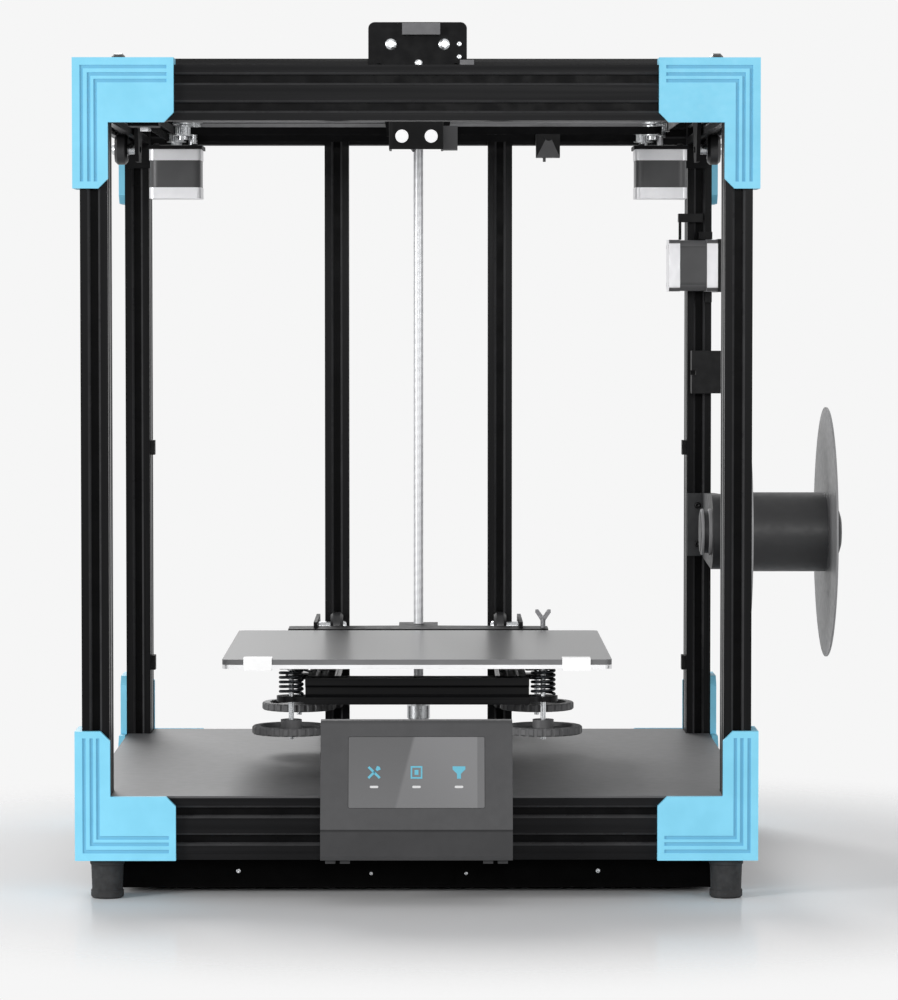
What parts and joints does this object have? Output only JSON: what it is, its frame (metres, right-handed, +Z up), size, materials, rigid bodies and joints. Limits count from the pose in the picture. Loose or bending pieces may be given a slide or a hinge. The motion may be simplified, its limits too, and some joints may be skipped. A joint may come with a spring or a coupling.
{
  "type": "desktop 3-D printer",
  "caption": "Open cube-frame filament printer: slotted extrusions with blue corner brackets, belt gantry with print head, screw-driven bed, tilted touch screen and side spool.",
  "frame": {"origin": "on the table, under the middle of the overall footprint", "axes": "+X to the viewer's right (spool side), +Y from the display to the back, +Z up"},
  "size_m": [0.5864, 0.53, 0.6518],
  "materials": {
    "black_anodised": "matte black anodised extrusion",
    "blue_plastic": "light blue moulded plastic",
    "grey_sheet": "grey powder coat",
    "black_sheet": "black powder coat",
    "black_plastic": "black moulded plastic",
    "red_plastic": "red rocker",
    "rubber": "moulded rubber",
    "grey_plastic": "grey moulded plastic",
    "screen_glass": "touch screen glass",
    "motor_steel": "cast caps and black laminations",
    "belt_rubber": "toothed belt",
    "brass": "turned brass",
    "aluminium": "bare aluminium",
    "steel": "bright steel",
    "spring_steel": "dark spring wire",
    "print_surface": "coated glass",
    "wheel_plastic": "black acetal",
    "spool_plastic": "grey moulded plastic"
  },
  "bodies": {
    "frame": {"corner_posts": "black_anodised", "top_beams": "black_anodised", "bottom_beams": "black_anodised", "bed_uprights": "black_anodised", "corner_brackets": "blue_plastic", "base_plate": "grey_sheet", "electronics_tray": "black_sheet", "power_inlet": "black_plastic", "feet": "rubber", "display_housing": "grey_plastic", "display_screen": "screen_glass", "stepper_motors": "motor_steel", "motor_mounts": "black_sheet", "idler_brackets": "black_sheet", "frame_belts": "belt_rubber", "side_belt_runs": "belt_rubber", "sensors": "black_plastic", "extruder_body": "black_plastic", "spool_holder": "black_plastic", "panel_clips": "black_plastic"},
    "gantry": {"cross_beam": "black_anodised", "gantry_plates": "black_sheet", "cross_belt_runs": "belt_rubber"},
    "carriage": {"carriage_plate": "black_sheet", "hot_end": "aluminium", "fan_shroud": "black_plastic"},
    "bed": {"bed_frame": "black_anodised", "bed_carriage": "black_sheet", "bed_plate": "aluminium", "print_plate": "print_surface", "plate_clips": "steel", "levelling_springs": "spring_steel"},
    "power_switch": {"power_switch": "red_plastic"},
    "extruder_lever": {"extruder_lever": "black_plastic"},
    "drive_gear": {"drive_gear": "brass"},
    "spool": {"spool": "spool_plastic"},
    "lead_screw": {"lead_screw": "steel"},
    "knob_front_left": {"knob_front_left": "black_plastic"},
    "knob_front_right": {"knob_front_right": "black_plastic"},
    "knob_rear_left": {"knob_rear_left": "black_plastic"},
    "knob_rear_right": {"knob_rear_right": "black_plastic"},
    "gantry_wheels_front": {"gantry_wheels_front": "wheel_plastic"},
    "gantry_wheels_rear": {"gantry_wheels_rear": "wheel_plastic"},
    "gantry_wheels_lower": {"gantry_wheels_lower": "wheel_plastic"},
    "bed_wheels_upper": {"bed_wheels_upper": "wheel_plastic"},
    "bed_wheels_lower": {"bed_wheels_lower": "wheel_plastic"},
    "bed_wheels_rear": {"bed_wheels_rear": "wheel_plastic"},
    "carriage_wheel_left": {"carriage_wheel_left": "wheel_plastic"},
    "carriage_wheel_right": {"carriage_wheel_right": "wheel_plastic"},
    "carriage_wheel_lower": {"carriage_wheel_lower": "wheel_plastic"},
    "motor_pulley_left": {"motor_pulley_left": "aluminium"},
    "motor_pulley_right": {"motor_pulley_right": "aluminium"},
    "front_idler_left": {"front_idler_left": "aluminium"},
    "front_idler_right": {"front_idler_right": "aluminium"},
    "rear_idler_left": {"rear_idler_left": "aluminium"},
    "rear_idler_right": {"rear_idler_right": "aluminium"},
    "gantry_idler_left_low": {"gantry_idler_left_low": "aluminium"},
    "gantry_idler_left_high": {"gantry_idler_left_high": "aluminium"},
    "gantry_idler_right_low": {"gantry_idler_right_low": "aluminium"},
    "gantry_idler_right_high": {"gantry_idler_right_high": "aluminium"}
  },
  "joints": [
    {"name": "bed_slide", "type": "slide", "parent": "frame", "child": "bed", "axis": [0, 0, 1], "range_m": [-0.019, 0.38]},
    {"name": "gantry_slide", "type": "slide", "parent": "frame", "child": "gantry", "axis": [0, 1, 0], "range_m": [-0.15, 0.09], "deforming": ["side_belt_runs"]},
    {"name": "carriage_slide", "type": "slide", "parent": "gantry", "child": "carriage", "axis": [1, 0, 0], "range_m": [-0.125, 0.125], "deforming": ["cross_belt_runs"]},
    {"name": "lead_screw_spin", "type": "hinge", "parent": "frame", "child": "lead_screw", "pos_m": [-0.04575, 0.215, 0.09], "axis": [0, 0, 1], "continuous": true},
    {"name": "gantry_wheels_front_spin", "type": "hinge", "parent": "gantry", "child": "gantry_wheels_front", "pos_m": [-0.04575, 0.02, 0.61475], "axis": [1, 0, 0], "continuous": true},
    {"name": "gantry_wheels_rear_spin", "type": "hinge", "parent": "gantry", "child": "gantry_wheels_rear", "pos_m": [-0.04575, 0.08, 0.61475], "axis": [1, 0, 0], "continuous": true},
    {"name": "gantry_wheels_lower_spin", "type": "hinge", "parent": "gantry", "child": "gantry_wheels_lower", "pos_m": [-0.04575, 0.05, 0.55325], "axis": [1, 0, 0], "continuous": true},
    {"name": "bed_wheels_upper_spin", "type": "hinge", "parent": "bed", "child": "bed_wheels_upper", "pos_m": [-0.04575, 0.20925, 0.1655], "axis": [1, 0, 0], "continuous": true},
    {"name": "bed_wheels_lower_spin", "type": "hinge", "parent": "bed", "child": "bed_wheels_lower", "pos_m": [-0.04575, 0.20925, 0.1095], "axis": [1, 0, 0], "continuous": true},
    {"name": "bed_wheels_rear_spin", "type": "hinge", "parent": "bed", "child": "bed_wheels_rear", "pos_m": [-0.04575, 0.25075, 0.1375], "axis": [1, 0, 0], "continuous": true},
    {"name": "carriage_wheel_left_spin", "type": "hinge", "parent": "carriage", "child": "carriage_wheel_left", "pos_m": [-0.06655, 0.05, 0.63455], "axis": [0, 1, 0], "continuous": true},
    {"name": "carriage_wheel_right_spin", "type": "hinge", "parent": "carriage", "child": "carriage_wheel_right", "pos_m": [-0.02495, 0.05, 0.63455], "axis": [0, 1, 0], "continuous": true},
    {"name": "carriage_wheel_lower_spin", "type": "hinge", "parent": "carriage", "child": "carriage_wheel_lower", "pos_m": [-0.04575, 0.05, 0.59305], "axis": [0, 1, 0], "continuous": true},
    {"name": "motor_pulley_left_spin", "type": "hinge", "parent": "frame", "child": "motor_pulley_left", "pos_m": [-0.24375, 0.191, 0.565], "axis": [0, 0, 1], "continuous": true},
    {"name": "motor_pulley_right_spin", "type": "hinge", "parent": "frame", "child": "motor_pulley_right", "pos_m": [0.15225, 0.191, 0.565], "axis": [0, 0, 1], "continuous": true},
    {"name": "front_idler_left_spin", "type": "hinge", "parent": "frame", "child": "front_idler_left", "pos_m": [-0.24375, -0.18, 0.565], "axis": [0, 0, 1], "continuous": true},
    {"name": "front_idler_right_spin", "type": "hinge", "parent": "frame", "child": "front_idler_right", "pos_m": [0.15225, -0.18, 0.565], "axis": [0, 0, 1], "continuous": true},
    {"name": "rear_idler_left_spin", "type": "hinge", "parent": "frame", "child": "rear_idler_left", "pos_m": [-0.23025, 0.191, 0.565], "axis": [0, 0, 1], "continuous": true},
    {"name": "rear_idler_right_spin", "type": "hinge", "parent": "frame", "child": "rear_idler_right", "pos_m": [0.13875, 0.191, 0.565], "axis": [0, 0, 1], "continuous": true},
    {"name": "gantry_idler_left_low_spin", "type": "hinge", "parent": "gantry", "child": "gantry_idler_left_low", "pos_m": [-0.23025, 0.05, 0.565], "axis": [0, 0, 1], "continuous": true},
    {"name": "gantry_idler_left_high_spin", "type": "hinge", "parent": "gantry", "child": "gantry_idler_left_high", "pos_m": [-0.23025, 0.05, 0.565], "axis": [0, 0, 1], "continuous": true},
    {"name": "gantry_idler_right_low_spin", "type": "hinge", "parent": "gantry", "child": "gantry_idler_right_low", "pos_m": [0.13875, 0.05, 0.565], "axis": [0, 0, 1], "continuous": true},
    {"name": "gantry_idler_right_high_spin", "type": "hinge", "parent": "gantry", "child": "gantry_idler_right_high", "pos_m": [0.13875, 0.05, 0.565], "axis": [0, 0, 1], "continuous": true},
    {"name": "spool_spin", "type": "hinge", "parent": "frame", "child": "spool", "pos_m": [0.21425, 0.105, 0.2495], "axis": [1, 0, 0], "continuous": true},
    {"name": "drive_gear_spin", "type": "hinge", "parent": "frame", "child": "drive_gear", "pos_m": [0.20225, 0.19855, 0.4635], "axis": [1, 0, 0], "continuous": true},
    {"name": "extruder_lever_pivot", "type": "hinge", "parent": "frame", "child": "extruder_lever", "pos_m": [0.20625, 0.18355, 0.447], "axis": [1, 0, 0], "range_deg": [0, 10], "stiffness_Nm_per_rad": 0.6, "springref_deg": -17.19},
    {"name": "knob_front_left_spin", "type": "hinge", "parent": "bed", "child": "knob_front_left", "pos_m": [-0.14075, -0.1, 0.107], "axis": [0, 0, 1], "continuous": true},
    {"name": "knob_front_right_spin", "type": "hinge", "parent": "bed", "child": "knob_front_right", "pos_m": [0.04925, -0.1, 0.107], "axis": [0, 0, 1], "continuous": true},
    {"name": "knob_rear_left_spin", "type": "hinge", "parent": "bed", "child": "knob_rear_left", "pos_m": [-0.14075, 0.09, 0.107], "axis": [0, 0, 1], "continuous": true},
    {"name": "knob_rear_right_spin", "type": "hinge", "parent": "bed", "child": "knob_rear_right", "pos_m": [0.04925, 0.09, 0.107], "axis": [0, 0, 1], "continuous": true},
    {"name": "power_switch_rock", "type": "hinge", "parent": "frame", "child": "power_switch", "pos_m": [-0.14375, 0.2155, 0.019], "axis": [0, 0, 1], "range_deg": [-14, 0]}
  ],
  "couplings": [
    {"joint": "lead_screw_spin", "follows": "bed_slide", "rad_per_m": -785.4},
    {"joint": "gantry_wheels_front_spin", "follows": "gantry_slide", "rad_per_m": -93.023},
    {"joint": "gantry_wheels_rear_spin", "follows": "gantry_slide", "rad_per_m": -93.023},
    {"joint": "gantry_wheels_lower_spin", "follows": "gantry_slide", "rad_per_m": 93.023},
    {"joint": "bed_wheels_upper_spin", "follows": "bed_slide", "rad_per_m": -93.023},
    {"joint": "bed_wheels_lower_spin", "follows": "bed_slide", "rad_per_m": -93.023},
    {"joint": "bed_wheels_rear_spin", "follows": "bed_slide", "rad_per_m": 93.023},
    {"joint": "carriage_wheel_left_spin", "follows": "carriage_slide", "rad_per_m": 93.023},
    {"joint": "carriage_wheel_right_spin", "follows": "carriage_slide", "rad_per_m": 93.023},
    {"joint": "carriage_wheel_lower_spin", "follows": "carriage_slide", "rad_per_m": -93.023},
    {"joint": "motor_pulley_left_spin", "follows": "gantry_slide", "rad_per_m": 156.99},
    {"joint": "motor_pulley_right_spin", "follows": "gantry_slide", "rad_per_m": -156.99},
    {"joint": "front_idler_left_spin", "follows": "gantry_slide", "rad_per_m": 156.99},
    {"joint": "front_idler_right_spin", "follows": "gantry_slide", "rad_per_m": -156.99},
    {"joint": "rear_idler_left_spin", "follows": "gantry_slide", "rad_per_m": -156.99},
    {"joint": "rear_idler_right_spin", "follows": "gantry_slide", "rad_per_m": 156.99},
    {"joint": "gantry_idler_left_low_spin", "follows": "carriage_slide", "rad_per_m": -156.99},
    {"joint": "gantry_idler_left_high_spin", "follows": "carriage_slide", "rad_per_m": 156.99},
    {"joint": "gantry_idler_right_low_spin", "follows": "carriage_slide", "rad_per_m": 156.99},
    {"joint": "gantry_idler_right_high_spin", "follows": "carriage_slide", "rad_per_m": -156.99}
  ]
}
